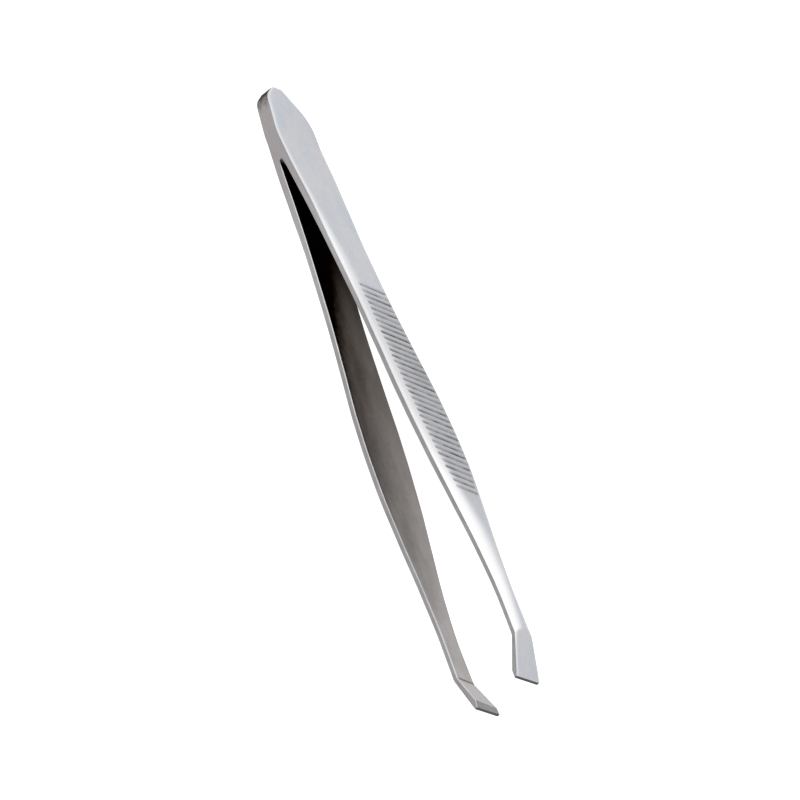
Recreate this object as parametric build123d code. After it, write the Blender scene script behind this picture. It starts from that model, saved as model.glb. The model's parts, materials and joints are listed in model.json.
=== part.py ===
from build123d import *
import math
import os

# Slant tweezers: two stamped spring-steel arms, laid face to face and welded at the butt.
# Frame: +X towards the tips, +Y the way the right arm opens, +Z up. The tweezers lie on the
# lower edges of their arms, at z = 0. Distances called "along" run from the butt end to the
# tips. Millimetres and degrees.

LENGTH = 94.5
HALF_WIDTH = 4.1            # of the butt and of the grip, which both reach z = 0
STOCK = 1.1                 # sheet thickness
MID_HEIGHT = HALF_WIDTH

# Side view of the right arm's inner face
BEND = 8.6                  # the arms leave each other here
SPREAD_ANGLE = 4.4          # each arm's angle past the bend
CURVE_START = 46.0          # the arm starts to curve back
CREASE = 88.7               # the tip plate is folded inwards here
CREASE_ANGLE = 0.2          # each arm's angle just before the crease
TIP_ANGLE = 18.0            # the tip plate's inward angle
TIP_THICKNESS = 0.85        # across the tip plate, along Y
TIP_EDGE = 0.40             # what the gripping face leaves at the end, along Y
TIP_SLANT = 4.0             # the end edge, from square; the upper corner stands further out

# Butt outline, seen along Y. Heights are from mid height
NIB_LOWER = -0.35           # the nib is a short upright edge between these heights
NIB_UPPER = 1.30
NIB_RADIUS = 0.70
TAPER_END = 3.9             # the straight lower taper meets the lower edge here
UPPER_CORNER = (2.0, 3.2)
UPPER_END = 7.5             # the upper edge is straight from here
LOWER_RADIUS = 5.0
UPPER_RADIUS = 2.5
RIM_RADIUS = 0.25           # round the outer face

# Grooves across both grips
GRIP_START = 33.0
GROOVE_PITCH = 1.0
GROOVE_COUNT = 34
GROOVE_WIDTH = 0.62
GROOVE_FLOOR = 0.20
GROOVE_DEPTH = 0.22
GROOVE_OVERRUN = 0.25       # past the outer flat, on each shoulder

# Weld round the butt, ground flush
WELD_HALF_THICKNESS = 0.3
WELD_DEPTH = 0.6
WELD_WEB_HALF_WIDTH = 3.9   # across the slot's root
WELD_BAR_END = 10.6         # the weld bites into both arms up to here
SLOT_ROOT = 12.0            # the weld closes the gap up to here

# Flexure: an arm bends between the weld and the middle of its grip, and swings about here
FLEX = 24.0
FLEX_RADIUS = 1.0
FLEX_CLEARANCE = 0.03
CLOSED_GAP = 0.01           # left between each gripping face and mid plane when closed

# The right arm's sections: along, half width, half width of the outer flat, height of the
# square edge. Between flat and edge the shoulder is an arc.
SECTIONS = [
    (BEND, HALF_WIDTH, HALF_WIDTH - RIM_RADIUS, STOCK - RIM_RADIUS),
    (12.5, 4.08, 3.75, 0.75),
    (19.0, 3.70, 3.30, 0.72),
    (26.0, 3.48, 2.70, 0.70),
    (34.0, 3.45, 2.50, 0.68),
    (43.0, 3.75, 2.80, 0.65),
    (52.0, 4.14, 3.15, 0.65),
    (60.0, 3.85, 2.85, 0.65),
    (68.0, 3.00, 1.70, 0.62),
    (76.0, 2.00, 0.80, 0.60),
    (83.0, 1.55, 0.40, 0.60),
    (CREASE, 1.65, 0.40, 0.60),
]
SPLIT_SECTION = 3           # the section just past the flexure
TIP_HALF_WIDTH = 2.20       # at the end of the tip plate, which flares from the crease

# Solids that only trim others
FAR = 20.0
TIP_CUT_MARGIN = 5.0        # past the tip, and back from the crease
GROOVE_CUT_MARGIN = 1.0     # above the outer face


def place(along, y=0.0, z=0.0):
    """A point of the frame, from its distance along the arm."""
    return (along - LENGTH / 2, y, z)


def curve_radius():
    turn = math.sin(math.radians(SPREAD_ANGLE)) - math.sin(math.radians(CREASE_ANGLE))
    return (CREASE - CURVE_START) / turn


def slope(along):
    """The inner face's angle to X, short of the crease."""
    if along <= CURVE_START:
        return math.radians(SPREAD_ANGLE)
    sine = math.sin(math.radians(SPREAD_ANGLE)) - (along - CURVE_START) / curve_radius()
    return math.asin(sine)


def inner_face(along):
    """The inner face's distance from mid plane, between the bend and the crease."""
    straight = min(along, CURVE_START) - BEND
    curved = curve_radius() * (math.cos(slope(along)) - math.cos(math.radians(SPREAD_ANGLE)))
    return straight * math.tan(math.radians(SPREAD_ANGLE)) + curved


def flat_half_width(along):
    """Half width of the outer flat, between the two sections beside this place."""
    for near, far in zip(SECTIONS, SECTIONS[1:]):
        if along <= far[0]:
            share = (along - near[0]) / (far[0] - near[0])
            return near[2] + share * (far[2] - near[2])
    return SECTIONS[-1][2]


def arm_section(along, inner, width, flat, edge, thickness):
    """A face across the arm: flat inside, square edges, rounded shoulders, flat outside."""
    outer = inner + thickness
    rise = thickness - edge
    run = width - flat
    radius = (run**2 + rise**2) / (2 * rise)
    half_turn = math.atan2(run, radius - rise) / 2
    shoulder = (outer - radius * (1 - math.cos(half_turn)), flat + radius * math.sin(half_turn))
    across = Plane(place(along, 0, MID_HEIGHT), x_dir=(0, 1, 0), z_dir=(1, 0, 0))
    with BuildSketch(across) as sketch:
        with BuildLine():
            Line((inner, -width), (inner, width))
            Line((inner, width), (inner + edge, width))
            ThreePointArc((inner + edge, width), shoulder, (outer, flat))
            Line((outer, flat), (outer, -flat))
            ThreePointArc((outer, -flat), (shoulder[0], -shoulder[1]), (inner + edge, -width))
            Line((inner + edge, -width), (inner, -width))
        make_face()
    return sketch.sketch.faces()[0]


def long_blade(sections):
    """The arm through these sections. Flats are ground on the grip's two edges."""
    faces = []
    for along, width, flat, edge in sections:
        faces.append(arm_section(along, inner_face(along), width, flat, edge, STOCK))
    trim = Box(2 * LENGTH, 2 * FAR, 2 * HALF_WIDTH)
    return loft(faces) & Pos(0, 0, MID_HEIGHT) * trim


def tip_fall(along):
    """How far the tip plate has come inwards, from the crease to this place."""
    return (along - CREASE) * math.tan(math.radians(TIP_ANGLE))


def side_prism(points):
    """A solid through the whole width, from its outline in side view."""
    outline = Polyline(*[place(along, y) for along, y in points], close=True)
    return extrude(Pos(0, 0, -FAR) * make_face(outline), 3 * FAR, dir=(0, 0, 1))


def tip_plate():
    """The folded tip, with its gripping face and its end edge."""
    _, width, flat, edge = SECTIONS[-1]
    root = inner_face(CREASE)
    end = root - tip_fall(LENGTH)
    start_face = arm_section(CREASE, root, width, flat, edge, STOCK)
    crown = TIP_THICKNESS + STOCK - edge
    end_face = arm_section(LENGTH, end, TIP_HALF_WIDTH, flat, TIP_THICKNESS, crown)
    plate = loft([start_face, end_face], ruled=True) - gripping_cut()
    upper_corner = Pos(*place(LENGTH, 0, MID_HEIGHT + TIP_HALF_WIDTH)) * Rot(0, -TIP_SLANT, 0)
    return plate - upper_corner * Pos(FAR, 0, 0) * Box(2 * FAR, 3 * FAR, 3 * FAR)


def outer_cut():
    """What lies outside the tip plate's outer face; it also shaves the crown at the crease."""
    level = inner_face(CREASE) + TIP_THICKNESS
    start = CREASE - TIP_CUT_MARGIN
    end = LENGTH + TIP_CUT_MARGIN
    corners = [(start, level - tip_fall(start)), (end, level - tip_fall(end))]
    return side_prism(corners + [(end, FAR), (start, FAR)])


def tip_inner():
    """The gripping face's distance from mid plane, at the tip's end."""
    return inner_face(CREASE) + TIP_THICKNESS - tip_fall(LENGTH) - TIP_EDGE


def flex_axis():
    """Distance along, and from mid plane, of the right arm's flexure."""
    return FLEX, inner_face(FLEX) + STOCK / 2


def closing_angle():
    """The swing that lays the gripping face on mid plane, but for the gap."""
    along, y = flex_axis()
    reach = LENGTH - along
    rise = tip_inner() - y
    return math.degrees(math.asin((y - CLOSED_GAP) / math.hypot(reach, rise)) + math.atan2(rise, reach))


def gripping_cut():
    """Inside the gripping face, which is parallel to mid plane once the arm has closed."""
    lean = math.tan(math.radians(closing_angle()))
    end = LENGTH + TIP_CUT_MARGIN
    corners = [
        (CREASE, tip_inner() - (LENGTH - CREASE) * lean),
        (end, tip_inner() + TIP_CUT_MARGIN * lean),
    ]
    return side_prism(corners + [(end, -FAR), (CREASE, -FAR)])


def butt_outline():
    """The butt seen along Y: a small nib, a straight lower taper, a rounder upper corner."""
    corners = [
        ((0, NIB_LOWER), NIB_RADIUS),
        ((TAPER_END, -HALF_WIDTH), LOWER_RADIUS),
        ((SLOT_ROOT, -HALF_WIDTH), 0),
        ((SLOT_ROOT, HALF_WIDTH), 0),
        ((UPPER_END, HALF_WIDTH), UPPER_RADIUS),
        (UPPER_CORNER, UPPER_RADIUS),
        ((0, NIB_UPPER), NIB_RADIUS),
    ]
    outline = make_face(Polyline(*[point for point, _ in corners], close=True))
    for (along, height), radius in corners:
        if radius:
            nearest = outline.vertices().sort_by_distance((along, height, 0))[0]
            outline = fillet(nearest, radius)
    return outline


def butt_slab(outline, low, high):
    """The outline as a solid between two distances from mid plane, low to high."""
    plane = Plane(place(0, low, MID_HEIGHT), x_dir=(1, 0, 0), z_dir=(0, -1, 0))
    return extrude(plane * outline, high - low, dir=(0, 1, 0))


def behind(along):
    """Everything on the butt's side of a distance along."""
    return Pos(*place(along - LENGTH / 2, 0, 0)) * Box(LENGTH, 3 * FAR, 3 * FAR)


def right_butt():
    """The arm's end that is welded: the outline, with a rounded outer rim."""
    slab = butt_slab(butt_outline(), 0, STOCK)
    outer_face = slab.faces().sort_by(Axis.Y)[-1]
    rim = outer_face.edges().sort_by(Axis.X)[:-1]
    return fillet(rim, RIM_RADIUS) & behind(BEND)


def weld_box(start, end):
    """A block of weld across the slot's root, between two distances along."""
    block = Box(end - start, 2 * WELD_HALF_THICKNESS, 2 * WELD_WEB_HALF_WIDTH)
    return Pos(*place((start + end) / 2, 0, MID_HEIGHT)) * block


def weld_seam(arms):
    """A ring of weld round the butt's mid plane, and the web that closes the slot's root."""
    outline = butt_outline()
    core = offset(outline, -WELD_DEPTH)
    ring = butt_slab(outline, -WELD_HALF_THICKNESS, WELD_HALF_THICKNESS)
    ring -= butt_slab(core, -WELD_HALF_THICKNESS, WELD_HALF_THICKNESS)
    bar = weld_box(BEND - WELD_DEPTH, WELD_BAR_END)
    web = weld_box(WELD_BAR_END, SLOT_ROOT) - arms
    web -= Pos(*place(SLOT_ROOT, 0, MID_HEIGHT)) * Cylinder(inner_face(SLOT_ROOT), 2 * FAR)
    return (ring & behind(BEND)) + bar + web


def grip_grooves():
    """Cutters for the grooves, each square to the outer face."""
    spread = (GROOVE_WIDTH - GROOVE_FLOOR) / 2 * (1 + GROOVE_CUT_MARGIN / GROOVE_DEPTH)
    cutters = []
    for i in range(GROOVE_COUNT):
        along = GRIP_START + i * GROOVE_PITCH
        half = flat_half_width(along) + GROOVE_OVERRUN
        outline = Polyline(
            (-GROOVE_FLOOR / 2, -GROOVE_DEPTH),
            (GROOVE_FLOOR / 2, -GROOVE_DEPTH),
            (GROOVE_FLOOR / 2 + spread, GROOVE_CUT_MARGIN),
            (-GROOVE_FLOOR / 2 - spread, GROOVE_CUT_MARGIN),
            close=True,
        )
        cutter = extrude(make_face(outline), half, both=True)
        spot = Pos(*place(along, inner_face(along) + STOCK, MID_HEIGHT))
        cutters.append(spot * Rot(0, 0, math.degrees(slope(along))) * cutter)
    return cutters


def flex_split(radius):
    """The side of the flexure towards the tips, with a round end about the flexure's axis."""
    along, y = flex_axis()
    barrel = Pos(*place(along, y, MID_HEIGHT)) * Cylinder(radius, 3 * FAR)
    ahead = Pos(*place(along + LENGTH / 2, 0, 0)) * Box(LENGTH, 3 * FAR, 3 * FAR)
    return barrel + ahead


def build():
    """Every node of the assembly, by name."""
    near = long_blade(SECTIONS[:SPLIT_SECTION + 1])
    far = long_blade(SECTIONS[SPLIT_SECTION:])
    root = right_butt() + near - flex_split(FLEX_RADIUS + FLEX_CLEARANCE)
    seam = weld_seam([near, mirror(near, Plane.XZ)])
    root -= seam
    blade = (near & flex_split(FLEX_RADIUS)) + far + tip_plate()
    blade = blade - outer_cut() - grip_grooves()
    return {
        "right_arm_butt": root,
        "left_arm_butt": mirror(root, Plane.XZ),
        "butt_weld": seam,
        "right_arm_blade": blade,
        "left_arm_blade": mirror(blade, Plane.XZ),
    }


os.makedirs("parts", exist_ok=True)
for name, shape in build().items():
    export_step(shape, f"parts/{name}.step")
print("flexure, along and from mid plane:", flex_axis())
print("closing angle:", closing_angle())
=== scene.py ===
import json
import math
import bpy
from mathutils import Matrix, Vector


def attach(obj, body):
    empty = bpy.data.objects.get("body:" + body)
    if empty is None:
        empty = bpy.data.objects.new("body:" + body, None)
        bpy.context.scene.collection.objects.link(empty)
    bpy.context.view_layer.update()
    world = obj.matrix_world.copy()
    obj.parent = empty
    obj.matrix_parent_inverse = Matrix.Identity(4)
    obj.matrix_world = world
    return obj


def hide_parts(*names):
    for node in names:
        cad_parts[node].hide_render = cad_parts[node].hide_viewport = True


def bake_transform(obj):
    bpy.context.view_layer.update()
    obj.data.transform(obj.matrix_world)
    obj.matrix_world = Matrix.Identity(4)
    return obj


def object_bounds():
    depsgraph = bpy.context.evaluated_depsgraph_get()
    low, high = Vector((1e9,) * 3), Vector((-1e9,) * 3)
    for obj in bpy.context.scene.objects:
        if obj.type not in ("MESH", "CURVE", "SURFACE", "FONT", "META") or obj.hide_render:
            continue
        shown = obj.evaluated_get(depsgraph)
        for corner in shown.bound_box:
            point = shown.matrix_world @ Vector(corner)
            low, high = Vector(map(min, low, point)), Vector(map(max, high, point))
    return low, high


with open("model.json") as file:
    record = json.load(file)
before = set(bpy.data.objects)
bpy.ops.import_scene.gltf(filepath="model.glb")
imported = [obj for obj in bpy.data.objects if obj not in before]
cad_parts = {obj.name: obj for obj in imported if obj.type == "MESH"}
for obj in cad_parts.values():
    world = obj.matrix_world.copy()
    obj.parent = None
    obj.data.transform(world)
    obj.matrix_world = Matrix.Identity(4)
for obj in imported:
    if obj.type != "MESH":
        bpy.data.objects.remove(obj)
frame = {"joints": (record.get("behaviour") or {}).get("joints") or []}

from types import SimpleNamespace

import bmesh
import bpy
import numpy as np
from mathutils import Quaternion, Vector

# Slant tweezers. Each arm is one continuous mesh, from the butt to its tip, and bends between
# the CAD bodies as the real spring steel does. Meshes are worked out in millimetres, with
# "along" running from the butt end to the tips and heights counted from mid height.

CAD_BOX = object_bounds()
MM = 0.001
LENGTH = (CAD_BOX[1].x - CAD_BOX[0].x) / MM
HALF_WIDTH = (CAD_BOX[1].z - CAD_BOX[0].z) / MM / 2
BUTT_X = CAD_BOX[0].x / MM

# Side view
STOCK = 1.1
BEND = 8.6
SPREAD = math.radians(4.4)
CURVE_START = 46.0
CREASE = 88.7
CREASE_ANGLE = math.radians(0.2)
TIP_ANGLE = math.radians(18.0)
TIP_THICKNESS = 0.85
TIP_EDGE = 0.40
TIP_SLANT = math.radians(4.0)
CLOSED_GAP = 0.01

# The arm's sections: along, half width, half width of the outer flat, height of the square edge
SECTIONS = np.array([
    (BEND, 4.10, 3.85, 0.85),
    (12.5, 4.08, 3.75, 0.75),
    (19.0, 3.70, 3.30, 0.72),
    (26.0, 3.48, 2.70, 0.70),
    (34.0, 3.45, 2.50, 0.68),
    (43.0, 3.75, 2.80, 0.65),
    (52.0, 4.14, 3.15, 0.65),
    (60.0, 3.85, 2.85, 0.65),
    (68.0, 3.00, 1.70, 0.62),
    (76.0, 2.00, 0.80, 0.60),
    (83.0, 1.55, 0.40, 0.60),
    (CREASE, 1.65, 0.40, 0.60),
])
TIP_HALF_WIDTH = 2.20

# Butt outline: corners and the radius that rounds each, for its lower and upper side
RIM = 0.25
LOWER_SIDE = [((0, 0), 0), ((0, -0.35), 0.7), ((3.9, -4.1), 5.0), ((12.5, -4.1), 0)]
UPPER_SIDE = [
    ((0, 1.0), 0), ((0, 1.3), 0.7), ((2.0, 3.2), 2.5), ((7.5, 4.1), 10.0), ((12.5, 4.1), 0),
]

# Weld
WELD_HALF_THICKNESS = 0.3
WELD_DEPTH = 0.6
WELD_BAR_END = 10.6
SLOT_ROOT = 12.0
NIB_SHARE = 0.45            # the most of the butt's height that the weld takes on each side

# Grip grooves
GRIP_START = 33.0
GROOVE_PITCH = 1.0
GROOVE_COUNT = 34
GROOVE_PLACES = (-1, -0.75, -0.5, -0.25, 0, 0.25, 0.5, 0.75, 1)     # rings, in half widths
GROOVE_DEPTH = 0.22
GROOVE_HALF_WIDTH = 0.33
GROOVE_FADE = 0.40

# Painted highlight along the upper edge of the outer face, standing in for the shoulder's reflection of
# the bright backdrop: along, its width, its strength
PAINTED_HIGHLIGHT = np.array([
    (0, 0.35, 0.30),
    (12, 0.40, 0.34),
    (20, 0.50, 0.38),
    (28, 0.90, 0.55),
    (38, 1.35, 0.46),
    (50, 1.40, 0.50),
    (59, 1.35, 0.62),
    (66, 1.65, 0.90),
    (72, 2.10, 1.00),
    (78, 1.80, 0.98),
    (84, 1.30, 0.95),
    (88.0, 0.95, 0.90),
    (88.8, 0.20, 0.60),
    (95, 0.20, 0.50),
])

# Small roundings
EDGE_ROUND = 0.06
INNER_ROUND = 0.16          # the arms' inner edges, eased from the slot onwards
PLATE_ROUND = 0.06          # where the tip plate's outer face meets the arm's
SEAM = 0.01                 # between two rings or rows at one step

# Rows of points round each ring
INNER_ROWS = 13             # up the inner face
INNER_STEPS = 4             # round each inner edge
WALL_ROWS = 3               # across the upper edge, and across the lower one
SHOULDER_ROWS = 9           # over each shoulder
FLAT_ROWS = 21              # across the outer flat
OUTER_ROWS = 2 * SHOULDER_ROWS + FLAT_ROWS

# Material slots of an arm
OUTER, EDGE, INNER, GROUND, END = range(5)


# ---------------------------------------------------------------- profile curves

def smooth_curve(x, xs, ys):
    """A curve through the points that never overshoots them."""
    x = np.asarray(x, float)
    step = np.diff(xs)
    rise = np.diff(ys) / step
    lean = np.zeros(len(xs))
    lean[0], lean[-1] = rise[0], rise[-1]
    for i in range(1, len(xs) - 1):
        if rise[i - 1] * rise[i] > 0:
            near, far = 2 * step[i] + step[i - 1], step[i] + 2 * step[i - 1]
            lean[i] = (near + far) / (near / rise[i - 1] + far / rise[i])
    i = np.clip(np.searchsorted(xs, x) - 1, 0, len(xs) - 2)
    t = np.clip((x - xs[i]) / step[i], 0, 1)
    t2, t3 = t * t, t * t * t
    return ((2 * t3 - 3 * t2 + 1) * ys[i] + (t3 - 2 * t2 + t) * step[i] * lean[i]
            + (3 * t2 - 2 * t3) * ys[i + 1] + (t3 - t2) * step[i] * lean[i + 1])


def soft_min(a, b, width):
    """The lower of a and b, rounded where they cross."""
    share = np.clip(0.5 + 0.5 * (b - a) / width, 0, 1)
    return b + (a - b) * share - width * share * (1 - share)


def ease(t):
    """From 0 to 1, gently at both ends."""
    return t * t * (3 - 2 * t)


def ease_out(t):
    """From 0 to 1, gently at the end."""
    return t * (2 - t)


def rounded(corners, count=24):
    """A polyline through the corners, with an arc of its radius at each."""
    points = [np.array(corners[0][0], float)]
    for i in range(1, len(corners) - 1):
        here = np.array(corners[i][0], float)
        back = points[0] if i == 1 else np.array(corners[i - 1][0], float)
        back = back - here
        ahead = np.array(corners[i + 1][0], float) - here
        back /= np.linalg.norm(back)
        ahead /= np.linalg.norm(ahead)
        half = math.acos(np.clip(back @ ahead, -1, 1)) / 2
        radius = corners[i][1]
        middle = here + (back + ahead) / np.linalg.norm(back + ahead) * radius / math.sin(half)
        start = here + back * radius / math.tan(half) - middle
        end = here + ahead * radius / math.tan(half) - middle
        turn = math.pi - 2 * half
        for k in range(count + 1):
            t = k / count
            spoke = math.sin((1 - t) * turn) * start + math.sin(t * turn) * end
            points.append(middle + spoke / math.sin(turn))
    points.append(np.array(corners[-1][0], float))
    return np.array(points)


LOWER = rounded(LOWER_SIDE)
UPPER = rounded(UPPER_SIDE)
CURVE_RADIUS = (CREASE - CURVE_START) / (math.sin(SPREAD) - math.sin(CREASE_ANGLE))


def edges(along):
    """Lowest and highest point of the arm's outline there, from mid height."""
    width = np.minimum(smooth_curve(along, SECTIONS[:, 0], SECTIONS[:, 1]), HALF_WIDTH)
    crease_width = SECTIONS[-1, 1]
    slope = (TIP_HALF_WIDTH - crease_width) / (LENGTH - CREASE)
    width = np.where(along > CREASE, crease_width + slope * (along - CREASE), width)
    low = np.where(along < BEND, np.interp(along, LOWER[:, 0], LOWER[:, 1]), -width)
    high = np.where(along < BEND, np.interp(along, UPPER[:, 0], UPPER[:, 1]), width)
    return low, high


def arm_line(along):
    """The inner face's distance from mid plane, with the tip's fold but without its ground face."""
    sine = math.sin(SPREAD) - np.clip(along - CURVE_START, 0, CREASE - CURVE_START) / CURVE_RADIUS
    straight = (np.minimum(along, CURVE_START) - BEND) * math.tan(SPREAD)
    curve = CURVE_RADIUS * (np.sqrt(1 - sine**2) - math.cos(SPREAD))
    past = np.maximum(along - CREASE, 0) * math.tan(CREASE_ANGLE)
    opened = -soft_min(-(straight + curve + past), 0 * along, 0.04)
    folded = crease_height() - (along - CREASE) * math.tan(TIP_ANGLE)
    return soft_min(opened, folded, 0.05)


def crease_height():
    fall = math.cos(CREASE_ANGLE) - math.cos(SPREAD)
    return (CURVE_START - BEND) * math.tan(SPREAD) + CURVE_RADIUS * fall


def tip_height():
    """The ground face's distance from mid plane, at the tip's end."""
    return crease_height() + TIP_THICKNESS - TIP_EDGE - (LENGTH - CREASE) * math.tan(TIP_ANGLE)


def closing_lean():
    """Slope of the ground face, which lies parallel to mid plane when the arm has closed."""
    hinge = next(j for j in frame["joints"] if j["name"] == "right_arm_flex")
    reach = LENGTH - (hinge["pos_m"][0] / MM - BUTT_X)
    rise = tip_height() - hinge["pos_m"][1] / MM
    swing = math.asin((hinge["pos_m"][1] / MM - CLOSED_GAP) / math.hypot(reach, rise))
    return math.tan(swing + math.atan2(rise, reach))


LEAN = closing_lean()
GROUND_START = (crease_height() - tip_height() + CREASE * math.tan(TIP_ANGLE) + LENGTH * LEAN) / (
    math.tan(TIP_ANGLE) + LEAN)


def inner_face(along):
    """The inner face's distance from mid plane, with the tip's ground face."""
    line = arm_line(along)
    ground = tip_height() - (LENGTH - along) * LEAN
    return np.where(along > GROUND_START - 1, -soft_min(-line, -ground, 0.01), line)


# ---------------------------------------------------------------- arm mesh

def ring_places():
    """Where the rings stand: close together at the nib, in the grooves and about the crease."""
    nib = RIM * (1 - np.cos(np.linspace(0, math.pi / 2, 9)))
    butt = np.concatenate([
        np.linspace(0.30, WELD_DEPTH - SEAM / 2, 5),
        np.linspace(WELD_DEPTH + SEAM / 2, BEND - WELD_DEPTH - SEAM / 2, 30),
        np.linspace(BEND - WELD_DEPTH + SEAM / 2, WELD_BAR_END - SEAM / 2, 12),
        np.linspace(WELD_BAR_END + SEAM / 2, 14.0, 12),
        np.linspace(14.4, GRIP_START - 0.6, 44),
    ])
    offsets = np.append(np.array(GROOVE_PLACES) * GROOVE_HALF_WIDTH, GROOVE_PITCH / 2)
    grip = GRIP_START + np.add.outer(np.arange(GROOVE_COUNT) * GROOVE_PITCH, offsets).ravel()
    shank = np.linspace(grip[-1] + 0.4, CREASE - 2.6, 44)
    fold = np.linspace(CREASE - 2.5, CREASE + 1.9, 45)
    plate = np.linspace(CREASE + 2.1, GROUND_START - 0.1, 8)
    ground = np.linspace(GROUND_START, LENGTH, 12)
    return np.concatenate([nib, butt, grip, shank, fold, plate, [GROUND_START - 0.03], ground])


def groove_depth(along, draw):
    """Depth of the grip's grooves and the grime and painted shade in them, at each ring. No two are
    quite alike.
    """
    depth, grime = np.zeros_like(along), np.zeros_like(along)
    for i in range(GROOVE_COUNT):
        away = np.abs(along - GRIP_START - i * GROOVE_PITCH) / GROOVE_HALF_WIDTH
        shape = np.where(away < 1, 0.5 + 0.5 * np.cos(math.pi * np.minimum(away, 1)), 0)
        depth += GROOVE_DEPTH * draw.uniform(0.8, 1.12) * shape
        grime += draw.uniform(0.6, 1.15) * shape
    return depth, grime


def groove_ends(along, draw):
    """How far each groove runs out over the shoulders, past the outer flat, at each ring."""
    rings_each = len(GROOVE_PLACES) + 1
    ends = np.repeat(draw.uniform(-0.12, 0.06, GROOVE_COUNT + 2), rings_each)
    return np.interp(along, np.linspace(GRIP_START - 1, GRIP_START + GROOVE_COUNT + 1, len(ends)), ends)


def arm_profile(draw):
    """The right arm's shape, as named arrays with one value for each ring."""
    along = ring_places()
    low, high = edges(along)
    past = np.clip((along - CREASE) / (LENGTH - CREASE), 0, 1)
    _, crease_width, _, crease_edge = SECTIONS[-1]
    edge = smooth_curve(along, SECTIONS[:, 0], SECTIONS[:, 3])
    edge = np.where(along < BEND, STOCK - RIM, edge) + past * (TIP_THICKNESS - crease_edge)
    thick = STOCK + past * (TIP_THICKNESS - crease_edge)
    run = smooth_curve(along, SECTIONS[:, 0], SECTIONS[:, 1] - SECTIONS[:, 2])
    run = np.where(along < BEND, RIM, run) + past * (TIP_HALF_WIDTH - crease_width)
    rise = thick - edge
    radius = (run**2 + rise**2) / (2 * rise)
    groove, grime = groove_depth(along, draw)
    return {
        "x": along, "low": low, "high": high,
        "base": arm_line(along), "inner": inner_face(along),
        "edge": edge, "thick": thick, "run": run,
        "run_low": run * np.hypot(1, np.clip(np.gradient(low, along), -3, 3)),
        "run_high": run * np.hypot(1, np.clip(np.gradient(high, along), -3, 3)),
        "radius": radius, "turn": np.arctan2(run, radius - rise),
        "plane": crease_height() + TIP_THICKNESS - (along - CREASE) * math.tan(TIP_ANGLE),
        "groove": groove, "grime": grime, "groove_end": groove_ends(along, draw),
        "seam": np.minimum(WELD_DEPTH, NIB_SHARE * (high - low)),
        "turned": INNER_ROUND * np.clip((along - SLOT_ROOT) / 1.5, 0, 1) * (1 - 0.6 * past),
        "band": smooth_curve(along, PAINTED_HIGHLIGHT[:, 0], PAINTED_HIGHLIGHT[:, 1]),
        "shine": smooth_curve(along, PAINTED_HIGHLIGHT[:, 0], PAINTED_HIGHLIGHT[:, 2]),
    }


def inner_heights(at):
    """Heights of the inner face's rows, with a close pair at each side of the weld."""
    first, last = at.low + at.seam + SEAM, at.high - at.seam - SEAM
    return [
        at.low + max(at.turned, SEAM), at.low + at.seam,
        *np.linspace(first, last, INNER_ROWS - 4),
        at.high - at.seam, at.high - max(at.turned, SEAM),
    ]


def rebated(x, row):
    """True where the arm makes room for the weld."""
    beside = row < 2 or row >= INNER_ROWS - 2
    return x < WELD_DEPTH or BEND - WELD_DEPTH < x < WELD_BAR_END or (x < BEND and beside)


def outer_point(at, swing):
    """Distance from mid plane, and how far over the shoulder, at this swing of the shoulder's arc."""
    sideways = at.radius * math.sin(swing) / at.run
    drop = at.radius * (1 - math.cos(swing))
    if at.x < RIM:
        reach = min(1.0, math.hypot(sideways, 1 - at.x / RIM))
        drop = RIM * (1 - math.sqrt(max(0.0, 1 - reach**2)))
    return soft_min(at.base + at.thick - drop, at.plane, PLATE_ROUND), sideways


def painted_highlight_at(at, z):
    """The painted highlight on the outer face at a height: full at its top, none past the band."""
    return at.shine * (1 - ease(np.clip(((at.high - z) / at.band - 0.3) / 1.4, 0, 1)))


def arm_ring(at):
    """One ring's points: up the inner face, over the upper edge, down the outer face and back.

    Each point is its place, then its painted highlight, then the grime and painted shade of the groove
    it lies in.
    """
    points = []

    def add(y, z, painted_highlight=0.0, grime=0.0):
        points.append((at.x, y, z, painted_highlight, grime))

    for row, z in enumerate(inner_heights(at)):
        add(WELD_HALF_THICKNESS if rebated(at.x, row) else at.inner, z)
    foot = points[-1][1]
    wall = at.base + at.edge
    corner = [math.pi / 2 * step / INNER_STEPS for step in range(1, INNER_STEPS + 1)]
    swings = [at.turn * (k - 0.35) / (SHOULDER_ROWS - 0.35) for k in range(1, SHOULDER_ROWS + 1)]

    # Painted highlight on the inner edge's rounding, full, and on the upper wall, less.
    for angle in corner:
        add(foot + at.turned * (1 - math.cos(angle)), at.high - at.turned * (1 - math.sin(angle)), 1.0)
    for share in (0.33, 0.66):
        add(foot + at.turned + (wall - foot - at.turned) * share, at.high, 0.3)
    add(wall - EDGE_ROUND, at.high, 0.5)

    for swing in reversed(swings):
        y, sideways = outer_point(at, swing)
        z = at.high - at.run_high * (1 - sideways)
        add(y, z, painted_highlight_at(at, z))
    level, _ = outer_point(at, 0)
    middle = (at.high - at.run_high + at.low + at.run_low) / 2
    half = (at.high - at.run_high - at.low - at.run_low) / 2
    for k in range(FLAT_ROWS):
        z = middle + half * math.cos(math.pi * k / (FLAT_ROWS - 1))
        fade = ease_out(np.clip((middle + half - z + at.groove_end) / GROOVE_FADE, 0, 1))
        add(level - at.groove * fade, z, painted_highlight_at(at, z), at.grime * fade)
    for swing in swings:
        y, sideways = outer_point(at, swing)
        fade = np.clip(1 - (at.run * sideways - at.groove_end) / GROOVE_FADE, 0, 1)
        add(y - at.groove * ease(fade), at.low + at.run_low * (1 - sideways), 0.0, at.grime * fade)

    add(wall - EDGE_ROUND, at.low)
    for share in (0.66, 0.33):
        add(foot + at.turned + (wall - foot - at.turned) * share, at.low)
    for angle in reversed(corner):
        add(foot + at.turned * (1 - math.cos(angle)), at.low + at.turned * (1 - math.sin(angle)))
    return points


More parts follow.
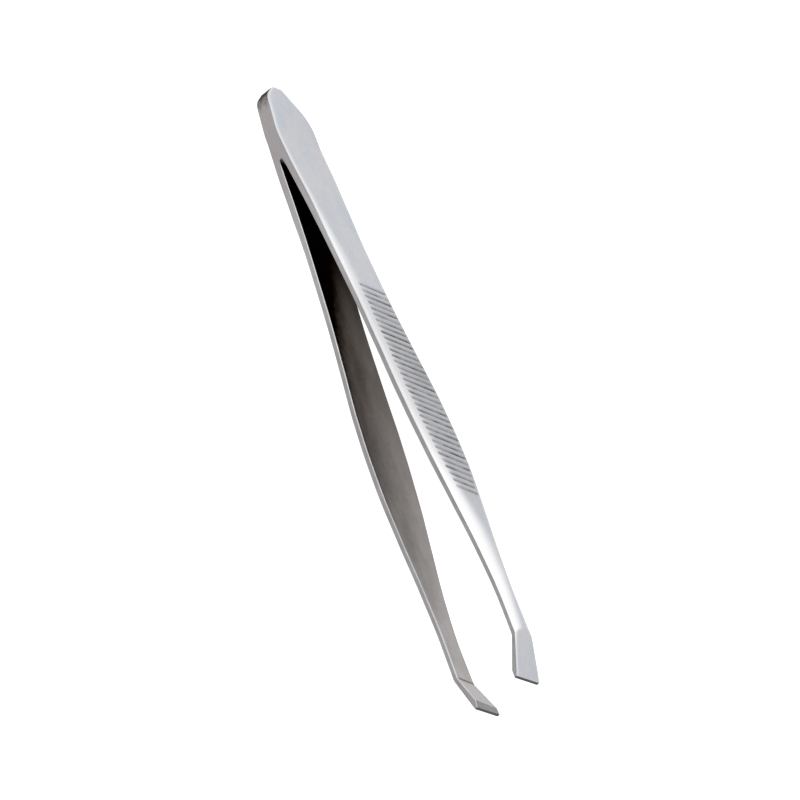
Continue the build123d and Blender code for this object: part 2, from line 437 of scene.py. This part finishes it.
def arm_rings(draw):
    """Every ring of the right arm, as an array of rings, points and coordinates."""
    profile = arm_profile(draw)
    places = zip(*profile.values())
    return np.array([arm_ring(SimpleNamespace(**dict(zip(profile, values)))) for values in places])


def slanted(rings):
    """Shears the last stretch of the tip off square, and keeps its upper corner where it is."""
    reach = np.clip((rings[..., 0] - GROUND_START) / (LENGTH - GROUND_START), 0, 1)
    back = (TIP_HALF_WIDTH - rings[..., 2]) * math.tan(TIP_SLANT)
    rings[..., 0] -= reach * back
    return rings


def chamfered(rings):
    """A narrow chamfer round the end edge."""
    last = rings[-1].copy()
    rings[-1, :, 0] -= EDGE_ROUND / 2
    section = last[:, 1:3]
    centre = (section.max(0) + section.min(0)) / 2
    half = (section.max(0) - section.min(0)) / 2
    last[:, 1:3] = centre + (section - centre) * (1 - EDGE_ROUND / 2 / half)
    return np.concatenate([rings, last[None]])


def row_materials(count):
    """The material of the faces along each row: inner face, edges or outer face."""
    kinds = np.full(count, OUTER)
    walls = INNER_STEPS + WALL_ROWS
    kinds[:INNER_ROWS - 1] = INNER
    kinds[INNER_ROWS - 1:INNER_ROWS + walls] = EDGE
    kinds[INNER_ROWS + walls + OUTER_ROWS - 1:] = EDGE
    return kinds


def to_mesh(name, points, faces, kinds, materials, side=1):
    """An object in metres, from points as arm_ring gives them. side is -1 for the left arm."""
    points = np.array(points, float)
    placed = points[:, :3] * (1, side, 1)
    placed += (BUTT_X, 0, HALF_WIDTH)
    mesh = bpy.data.meshes.new(name)
    mesh.from_pydata((placed * MM).tolist(), [], faces)
    for material in materials:
        mesh.materials.append(material)
    mesh.polygons.foreach_set("material_index", kinds)
    rest = mesh.attributes.new("rest_mm", "FLOAT_VECTOR", "POINT")
    rest.data.foreach_set("vector", points[:, :3].astype(np.float32).ravel())
    for label, column in (("painted_highlight", 3), ("groove", 4)):
        trait = mesh.attributes.new(label, "FLOAT", "POINT")
        trait.data.foreach_set("value", points[:, column].astype(np.float32))
    build = bmesh.new()
    build.from_mesh(mesh)
    bmesh.ops.recalc_face_normals(build, faces=build.faces)
    build.to_mesh(mesh)
    build.free()
    mesh.shade_smooth()
    mesh.set_sharp_from_angle(angle=math.radians(35))
    piece = bpy.data.objects.new(name, mesh)
    bpy.context.scene.collection.objects.link(piece)
    weighted = piece.modifiers.new("weighted", "WEIGHTED_NORMAL")
    weighted.keep_sharp = True
    return piece


def make_arm(name, side, materials, seed):
    """One arm, the same for both but mirrored, and with its own small unevenness."""
    rings = chamfered(slanted(arm_rings(np.random.default_rng(seed))))
    total, count = rings.shape[:2]
    by_row = row_materials(count)
    faces, kinds = [list(range(count))], [EDGE]
    for i in range(total - 1):
        near, far = i * count, (i + 1) * count
        for k in range(count):
            after = (k + 1) % count
            faces.append([near + k, far + k, far + after, near + after])
            ground = by_row[k] == INNER and rings[i, k, 0] > GROUND_START - 0.02
            kinds.append(END if i == total - 2 else GROUND if ground else by_row[k])
    faces.append([(total - 1) * count + k for k in range(count)])
    kinds.append(END)
    arm = to_mesh(name, rings.reshape(total * count, -1), faces, kinds, materials, side)
    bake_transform(arm)
    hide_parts(f"{name}_butt", f"{name}_blade")


# ---------------------------------------------------------------- weld

def make_weld(materials):
    """A ring round the butt's mid plane with a bar across it, and the web at the slot's root."""
    along = np.concatenate([
        RIM * (1 - np.cos(np.linspace(0, math.pi / 2, 9))),
        np.linspace(0.30, WELD_DEPTH, 5),
        np.linspace(WELD_DEPTH, BEND - WELD_DEPTH, 30)[1:],
        np.linspace(BEND - WELD_DEPTH, WELD_BAR_END, 12)[1:],
        np.linspace(WELD_BAR_END + SEAM, SLOT_ROOT - 0.3, 8),
        [SLOT_ROOT],
    ])
    low, high = edges(along)
    half = np.where(along <= WELD_BAR_END, WELD_HALF_THICKNESS, arm_line(along))
    across = (-1, -0.8, -0.5, -0.2, 0.2, 0.5, 0.8, 1)
    last = len(along) - 1
    points, faces = [], []
    for i, (x, bottom, top, thick) in enumerate(zip(along, low, high, half)):
        depth = min(WELD_DEPTH, NIB_SHARE * (top - bottom))
        hollow = thick if i == last else 0      # the slot's root is round
        for z in (bottom, bottom + depth, top - depth, top):
            for share in across:
                # The 0.3 is painted highlight, by which the edge material lightens the weld.
                points.append((x - hollow * math.sqrt(1 - share**2), share * thick, z, 0.3, 0))

    def filled(i, j):
        """True where the weld has metal: nowhere off it, nor in the middle of its ring."""
        if not (0 <= i < last and 0 <= j < 3):
            return False
        return j != 1 or not WELD_DEPTH <= (along[i] + along[i + 1]) / 2 <= BEND - WELD_DEPTH

    def spot(i, j, k):
        return (i * 4 + j) * len(across) + k

    def strip(start, end):
        """Faces between two lines of points that run across the weld."""
        for k in range(len(across) - 1):
            faces.append([spot(*start, k), spot(*end, k), spot(*end, k + 1), spot(*start, k + 1)])

    for i in range(last):
        for j in range(3):
            if not filled(i, j):
                continue
            for k in (0, len(across) - 1):
                corners = ((i, j), (i + 1, j), (i + 1, j + 1), (i, j + 1))
                faces.append([spot(*corner, k) for corner in corners])
            for side, row in ((j - 1, j), (j + 1, j + 1)):
                if not filled(i, side):
                    strip((i, row), (i + 1, row))
            for side, ring in ((i - 1, i), (i + 1, i + 1)):
                if not filled(side, j):
                    strip((ring, j), (ring, j + 1))
    weld = to_mesh("weld_seam", points, faces, [0] * len(faces), materials)
    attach(weld, "butt")
    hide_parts("butt_weld")


# ---------------------------------------------------------------- materials

class Nodes:
    """Short calls for one material's node tree."""

    def __init__(self, name, colour, roughness):
        self.material = bpy.data.materials.new(name)
        self.material.use_nodes = True
        self.tree = self.material.node_tree
        self.shader = self.tree.nodes["Principled BSDF"]
        self.shader.inputs["Metallic"].default_value = 1.0
        self.shader.inputs["Base Color"].default_value = (*colour, 1)
        self.shader.inputs["Roughness"].default_value = roughness
        self.place = self.add("ShaderNodeAttribute")
        self.place.attribute_name = "rest_mm"

    def add(self, kind, **values):
        node = self.tree.nodes.new(kind)
        for name, value in values.items():
            setattr(node, name, value)
        return node

    def link(self, source, target):
        self.tree.links.new(source, target)

    def scaled(self, x, y, z):
        """The place on the arm, stretched by these factors."""
        node = self.add("ShaderNodeVectorMath", operation="MULTIPLY")
        self.link(self.place.outputs["Vector"], node.inputs[0])
        node.inputs[1].default_value = (x, y, z)
        return node.outputs[0]

    def noise(self, vector, detail, rough):
        node = self.add("ShaderNodeTexNoise")
        node.inputs["Scale"].default_value = 1.0
        node.inputs["Detail"].default_value = detail
        node.inputs["Roughness"].default_value = rough
        self.link(vector, node.inputs["Vector"])
        return node.outputs["Fac"]

    def ramp(self, value, low, high, start, end, smooth=False):
        node = self.add("ShaderNodeMapRange")
        node.interpolation_type = "SMOOTHSTEP" if smooth else "LINEAR"
        node.inputs["From Min"].default_value = low
        node.inputs["From Max"].default_value = high
        node.inputs["To Min"].default_value = start
        node.inputs["To Max"].default_value = end
        self.link(value, node.inputs["Value"])
        return node.outputs["Result"]

    def maths(self, operation, a, b):
        node = self.add("ShaderNodeMath", operation=operation)
        for socket, value in zip(node.inputs, (a, b)):
            if isinstance(value, (int, float)):
                socket.default_value = value
            else:
                self.link(value, socket)
        return node.outputs[0]

    def mix(self, factor, a, b):
        """Mixes two colours, each a colour or a socket, by a factor socket."""
        node = self.add("ShaderNodeMix", data_type="RGBA")
        self.link(factor, node.inputs[0])
        for socket, value in ((node.inputs[6], a), (node.inputs[7], b)):
            if isinstance(value, tuple):
                socket.default_value = (*value, 1)
            else:
                self.link(value, socket)
        return node.outputs[2]

    def trait(self, name):
        node = self.add("ShaderNodeAttribute")
        node.attribute_name = name
        return node.outputs["Fac"]

    def distance(self, centre, weights):
        """How far the place is from a centre, with each axis weighted."""
        node = self.add("ShaderNodeVectorMath", operation="DISTANCE")
        self.link(self.scaled(*weights), node.inputs[0])
        node.inputs[1].default_value = [c * w for c, w in zip(centre, weights)]
        return node.outputs["Value"]

    def axis(self, name):
        node = self.add("ShaderNodeSeparateXYZ")
        self.link(self.place.outputs["Vector"], node.inputs[0])
        return node.outputs[name]

    def bump(self, height, strength, distance):
        node = self.add("ShaderNodeBump")
        node.inputs["Strength"].default_value = strength
        node.inputs["Distance"].default_value = distance
        self.link(height, node.inputs["Height"])
        self.link(node.outputs["Normal"], self.shader.inputs["Normal"])

    def finish(self, colour, roughness):
        self.link(colour, self.shader.inputs["Base Color"])
        self.link(roughness, self.shader.inputs["Roughness"])
        return self.material


def outer_steel():
    """Satin stainless steel: brushed lengthwise, a painted highlight along the upper shoulders, grime
    and painted shade in the grooves.
    """
    n = Nodes("outer_steel", (0.47, 0.48, 0.5), 0.3)
    grain = n.noise(n.scaled(0.5, 14, 14), detail=4, rough=0.6)
    fine = n.noise(n.scaled(2.0, 60, 60), detail=2, rough=0.5)
    cloud = n.noise(n.scaled(0.22, 0.35, 0.35), detail=3, rough=0.55)
    colour = n.mix(n.ramp(cloud, 0.38, 0.62, 0, 1), (0.375, 0.40, 0.44), (0.435, 0.435, 0.455))
    # Darker over the grip, fading in from along 32 to 36 and out from 62 to 72.
    grip_in = n.ramp(n.axis("X"), 32, 36, 0, 1, True)
    grip_out = n.ramp(n.axis("X"), 62, 72, 1, 0, True)
    grip_darkening = n.maths("MULTIPLY", n.maths("MULTIPLY", grip_in, grip_out), 0.55)
    colour = n.mix(grip_darkening, colour, (0.27, 0.27, 0.28))
    colour = n.mix(n.ramp(grain, 0.3, 0.7, 0, 0.16), colour, (0.34, 0.34, 0.35))
    mottle = n.noise(n.scaled(1.7, 2.6, 2.6), detail=3, rough=0.65)
    colour = n.mix(n.ramp(mottle, 0.35, 0.65, 0, 0.22), colour, (0.31, 0.31, 0.325))
    # Painted highlight: lighter along the upper shoulder, for its reflection of the bright backdrop.
    colour = n.mix(n.trait("painted_highlight"), colour, (0.74, 0.735, 0.74))
    # A dark patch on the outer face's lower side, about along 46.
    dark_patch = n.ramp(n.distance((46.5, 0, -1.8), (0.6, 0, 1)), 0.3, 2.6, 0.45, 0, True)
    dark_patch = n.maths("MULTIPLY", dark_patch, n.ramp(grain, 0.35, 0.6, 0.4, 1))
    colour = n.mix(dark_patch, colour, (0.16, 0.16, 0.165))
    # Grime and painted shade: darker in the grooves, patchy, in place of the shade the grooves hold.
    worn = n.ramp(n.noise(n.scaled(0.8, 0.4, 0.4), detail=3, rough=0.6), 0.35, 0.62, 1.0, 0.3)
    grime = n.maths("MULTIPLY", n.ramp(n.trait("groove"), 0.08, 0.6, 0, 1), worn)
    colour = n.mix(grime, colour, (0.10, 0.10, 0.105))
    uneven = n.ramp(cloud, 0.3, 0.7, -0.03, 0.03)
    rough = n.maths("ADD", n.ramp(grain, 0.3, 0.7, 0.26, 0.36), uneven)
    rough = n.maths("ADD", rough, n.maths("MULTIPLY", grime, 0.2))
    height = n.maths("ADD", grain, n.maths("MULTIPLY", fine, 0.4))
    n.bump(height, 0.10, 0.00002)
    return n.finish(colour, rough)


def edge_steel():
    """Stamped and tumbled edges, with a warm tint where the weld heated them, a dark, dull nib, and
    painted highlight towards the butt and on the inner edges.
    """
    n = Nodes("edge_steel", (0.5, 0.5, 0.5), 0.34)
    lines = n.noise(n.scaled(9, 1.2, 1.2), detail=3, rough=0.6)
    cloud = n.noise(n.scaled(0.3, 0.5, 0.5), detail=2, rough=0.5)
    spots = n.noise(n.scaled(1.6, 1.6, 1.6), detail=3, rough=0.6)
    along = n.axis("X")
    # Painted highlight: the edges lighter up to along 26, fading out by 44, for the walls' brighter
    # reflection near the head.
    near = n.ramp(along, 26, 44, 1, 0, True)
    colour = n.mix(n.ramp(cloud, 0.35, 0.65, 0, 1), (0.43, 0.425, 0.425), (0.56, 0.555, 0.555))
    colour = n.mix(near, colour, (0.69, 0.685, 0.69))
    colour = n.mix(n.ramp(spots, 0.35, 0.65, 0, 0.30), colour, (0.40, 0.395, 0.395))
    # Painted highlight on the inner edges' rounding, the upper walls and the weld.
    colour = n.mix(n.maths("MULTIPLY", n.trait("painted_highlight"), 0.45), colour, (0.62, 0.60, 0.605))
    warm = n.maths("MULTIPLY", n.ramp(along, 6, 24, 1, 0, True), n.ramp(cloud, 0.3, 0.7, 0.5, 1.0))
    colour = n.mix(warm, colour, (0.56, 0.50, 0.50))
    # Black and dull at the nib, fading out by about 4 mm along.
    ragged = n.maths("ADD", along, n.ramp(spots, 0.3, 0.7, -0.6, 0.6))
    dark_nib = n.ramp(ragged, 1.3, 4.2, 1, 0, True)
    colour = n.mix(dark_nib, colour, (0.055, 0.05, 0.048))
    off_nib = n.maths("SUBTRACT", 1.0, dark_nib)
    n.link(off_nib, n.shader.inputs["Metallic"])
    n.link(n.maths("MULTIPLY", off_nib, 0.5), n.shader.inputs["Specular IOR Level"])
    rough = n.ramp(lines, 0.3, 0.7, 0.28, 0.42)
    n.bump(lines, 0.08, 0.00003)
    return n.finish(colour, rough)


def inner_steel():
    """Inner faces, dull: painted shade between the arms, darkest near the slot and lighter towards the
    tips, over a brownish mottled tone.
    """
    n = Nodes("inner_steel", (0.2, 0.2, 0.2), 0.4)
    along = n.axis("X")
    grain = n.noise(n.scaled(0.6, 9, 9), detail=4, rough=0.6)
    cloud = n.noise(n.scaled(0.18, 0.5, 0.5), detail=3, rough=0.5)
    spots = n.noise(n.scaled(1.1, 1.6, 1.6), detail=3, rough=0.6)
    reach = n.maths("ADD", along, n.ramp(spots, 0.3, 0.7, -2, 2))
    # Painted shade: dark near the slot, lighter towards the tips, standing in for the shade and dark
    # reflections between the arms.
    dark = n.mix(n.ramp(cloud, 0.35, 0.65, 0, 1), (0.062, 0.052, 0.046), (0.100, 0.086, 0.078))
    unshaded_tone = n.mix(n.ramp(cloud, 0.35, 0.65, 0, 1), (0.40, 0.39, 0.385), (0.46, 0.45, 0.45))
    unshaded_share = n.maths("POWER", n.ramp(reach, 40, 92, 0, 1), 1.3)
    colour = n.mix(unshaded_share, dark, unshaded_tone)
    # Painted reflection: lighter towards the lower side, where the faces reflect the open floor.
    low = n.ramp(n.axis("Z"), 2.2, -3.2, 0, 1, True)
    low = n.maths("MULTIPLY", low, n.ramp(along, 32, 60, 0.06, 0.32))
    colour = n.mix(low, colour, (0.50, 0.47, 0.455))
    plate = n.ramp(along, CREASE - 0.1, CREASE + 0.3, 0, 1, True)
    colour = n.mix(plate, colour, (0.60, 0.595, 0.60))
    # Painted shade: a dark line along the fold.
    fold = n.ramp(n.distance((CREASE, 0, 0), (1, 0, 0)), 0.05, 0.30, 0.75, 0, True)
    colour = n.mix(fold, colour, (0.10, 0.10, 0.10))
    # Painted dark reflection: near black by the slot, with a slanting edge, where each inner face
    # mirrors the other arm's.
    slant = n.maths("SUBTRACT", reach, n.maths("MULTIPLY", n.axis("Z"), 4.0))
    fading = n.ramp(along, 22, 40, 0, 1, True)
    past_black = n.maths("MULTIPLY", n.ramp(slant, 23, 33, 0, 1, True), fading)
    colour = n.mix(past_black, (0.006, 0.005, 0.005), colour)
    n.shader.inputs["Specular Tint"].default_value = (0.45, 0.43, 0.42, 1)
    rough = n.ramp(grain, 0.3, 0.7, 0.26, 0.40)
    n.bump(n.maths("ADD", grain, spots), 0.08, 0.00003)
    return n.finish(colour, rough)


def ground_steel():
    """The gripping faces: ground across, fine parallel lines."""
    n = Nodes("ground_steel", (0.4, 0.4, 0.41), 0.36)
    lines = n.noise(n.scaled(22, 22, 0.8), detail=3, rough=0.6)
    colour = n.mix(n.ramp(lines, 0.3, 0.7, 0, 1), (0.15, 0.15, 0.152), (0.25, 0.25, 0.252))
    rough = n.ramp(lines, 0.3, 0.7, 0.28, 0.42)
    n.bump(lines, 0.15, 0.00002)
    return n.finish(colour, rough)


def end_steel():
    """The cut end edges: dull, with lines across."""
    n = Nodes("end_steel", (0.1, 0.1, 0.1), 0.5)
    lines = n.noise(n.scaled(20, 20, 2), detail=3, rough=0.6)
    colour = n.mix(n.ramp(lines, 0.3, 0.7, 0, 1), (0.07, 0.068, 0.066), (0.13, 0.128, 0.126))
    n.shader.inputs["Specular Tint"].default_value = (0.4, 0.4, 0.4, 1)
    rough = n.ramp(lines, 0.3, 0.7, 0.42, 0.56)
    n.bump(lines, 0.2, 0.00002)
    return n.finish(colour, rough)


# ---------------------------------------------------------------- stage

def make_floor():
    """A pale floor with its own glow, so that the tweezers' shadow hardly shows."""
    bpy.ops.mesh.primitive_plane_add(size=12)
    floor = bpy.context.object
    floor.name = "floor"
    material = bpy.data.materials.new("floor_paint")
    material.use_nodes = True
    shader = material.node_tree.nodes["Principled BSDF"]
    shader.inputs["Base Color"].default_value = (0.7, 0.7, 0.7, 1)
    shader.inputs["Emission Color"].default_value = (1, 1, 1, 1)
    shader.inputs["Emission Strength"].default_value = 0.85
    shader.inputs["Roughness"].default_value = 0.9
    shader.inputs["Specular IOR Level"].default_value = 0.2
    floor.data.materials.append(material)


def make_light(name, direction, distance, size, power):
    """A soft box that faces the tweezers."""
    data = bpy.data.lights.new(name, "AREA")
    data.shape = "RECTANGLE"
    data.size, data.size_y = size
    data.energy = power
    light = bpy.data.objects.new(name, data)
    light.location = Vector(direction).normalized() * distance
    light.rotation_euler = (-light.location).to_track_quat("-Z", "Y").to_euler()
    light.visible_camera = False
    bpy.context.scene.collection.objects.link(light)


def make_world(strength):
    world = bpy.data.worlds.new("studio")
    world.use_nodes = True
    background = world.node_tree.nodes["Background"]
    background.inputs["Color"].default_value = (1, 1, 1, 1)
    background.inputs["Strength"].default_value = strength
    bpy.context.scene.world = world


def make_camera():
    """A long lens, looking down on the tweezers from the tips' side, and rolled.

    Its own views come out blank with a distance and lens much longer than these.
    """
    azimuth, elevation, roll = (math.radians(a) for a in (37.05, 46.2, -67.5))
    aim = Vector((1.09, 0.48, 3.17)) * MM
    distance = 3.5
    flat = math.cos(elevation)
    back = Vector((flat * math.cos(azimuth), flat * math.sin(azimuth), math.sin(elevation)))
    data = bpy.data.cameras.new("camera")
    data.lens = 1295
    data.sensor_width = 36
    data.clip_start = 0.5
    data.clip_end = 30
    camera = bpy.data.objects.new("camera", data)
    camera.location = aim + back * distance
    camera.rotation_mode = "QUATERNION"
    level = (-back).to_track_quat("-Z", "Y")
    camera.rotation_quaternion = level @ Quaternion((0, 0, 1), roll)
    bpy.context.scene.collection.objects.link(camera)
    bpy.context.scene.camera = camera


def main():
    materials = [outer_steel(), edge_steel(), inner_steel(), ground_steel(), end_steel()]
    make_arm("right_arm", 1, materials, 11)
    make_arm("left_arm", -1, materials, 12)
    make_weld([materials[EDGE]])
    make_floor()
    make_world(0.6)
    make_light("backdrop", (-0.62, 0.66, 0.42), 1.6, (2.4, 1.6), 12.5)
    make_camera()
    bpy.context.scene.view_settings.view_transform = "Standard"


main()
